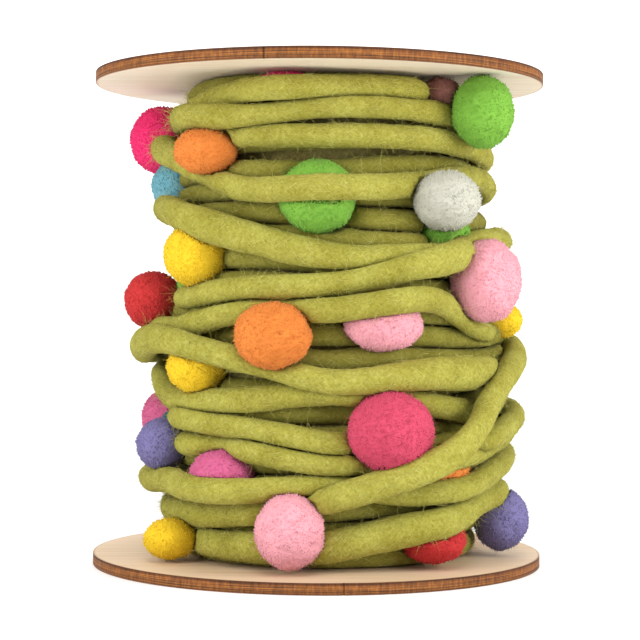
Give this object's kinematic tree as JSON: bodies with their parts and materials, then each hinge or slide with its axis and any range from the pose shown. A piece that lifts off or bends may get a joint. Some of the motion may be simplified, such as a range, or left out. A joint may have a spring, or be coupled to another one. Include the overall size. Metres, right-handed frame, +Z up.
{
  "type": "roll of pompom trim on a plywood spool",
  "caption": "Edging of thick felted cord strung with soft pompoms, wound loosely on a spool with plain round plywood discs, which stands on its bottom disc.",
  "frame": {"origin": "centre of the bottom disc's underside, on the surface that the spool stands on", "axes": "+Z up along the spool, -Y towards the front"},
  "size_m": [0.12, 0.12, 0.131],
  "materials": {
    "plywood": "sanded bare birch plywood with a laser-cut edge",
    "pompom_crimson": "dense cut pile",
    "pompom_orange": "dense cut pile",
    "pompom_green": "dense cut pile",
    "pompom_white": "dense cut pile",
    "pompom_sky": "dense cut pile",
    "pompom_yellow": "dense cut pile",
    "pompom_red": "dense cut pile",
    "pompom_pink": "dense cut pile",
    "pompom_hot_pink": "dense cut pile",
    "pompom_violet": "dense cut pile",
    "pompom_maroon": "dense cut pile",
    "pompom_teal": "dense cut pile",
    "cord": "felted wool cord with loose fibres"
  },
  "bodies": {
    "root": {"disc_bottom": "plywood", "disc_top": "plywood", "pompom_01_crimson": "pompom_crimson", "pompom_02_orange": "pompom_orange", "pompom_03_green": "pompom_green", "pompom_04_white": "pompom_white", "pompom_05_green": "pompom_green", "pompom_06_sky": "pompom_sky", "pompom_07_yellow": "pompom_yellow", "pompom_08_red": "pompom_red", "pompom_09_orange": "pompom_orange", "pompom_10_pink": "pompom_pink", "pompom_11_pink": "pompom_pink", "pompom_12_yellow": "pompom_yellow", "pompom_13_hot_pink": "pompom_hot_pink", "pompom_14_violet": "pompom_violet", "pompom_15_hot_pink": "pompom_hot_pink", "pompom_16_hot_pink": "pompom_hot_pink", "pompom_17_orange": "pompom_orange", "pompom_18_pink": "pompom_pink", "pompom_19_yellow": "pompom_yellow", "pompom_20_red": "pompom_red", "pompom_21_violet": "pompom_violet", "pompom_22_yellow": "pompom_yellow", "pompom_23_green": "pompom_green", "pompom_24_crimson": "pompom_crimson", "pompom_25_maroon": "pompom_maroon", "pompom_26_green": "pompom_green", "pompom_27_teal": "pompom_teal", "pompom_28_sky": "pompom_sky", "pompom_29_hot_pink": "pompom_hot_pink", "pompom_30_orange": "pompom_orange", "pompom_31_pink": "pompom_pink", "pompom_32_yellow": "pompom_yellow", "pompom_33_red": "pompom_red", "pompom_34_green": "pompom_green", "pompom_35_violet": "pompom_violet", "pompom_36_white": "pompom_white", "pompom_37_crimson": "pompom_crimson", "pompom_38_pink": "pompom_pink", "pompom_39_hot_pink": "pompom_hot_pink", "pompom_40_orange": "pompom_orange", "pompom_41_sky": "pompom_sky", "pompom_42_yellow": "pompom_yellow", "pompom_43_green": "pompom_green", "pompom_44_pink": "pompom_pink", "pompom_45_red": "pompom_red", "pompom_46_orange": "pompom_orange", "winding": "cord"}
  },
  "joints": []
}
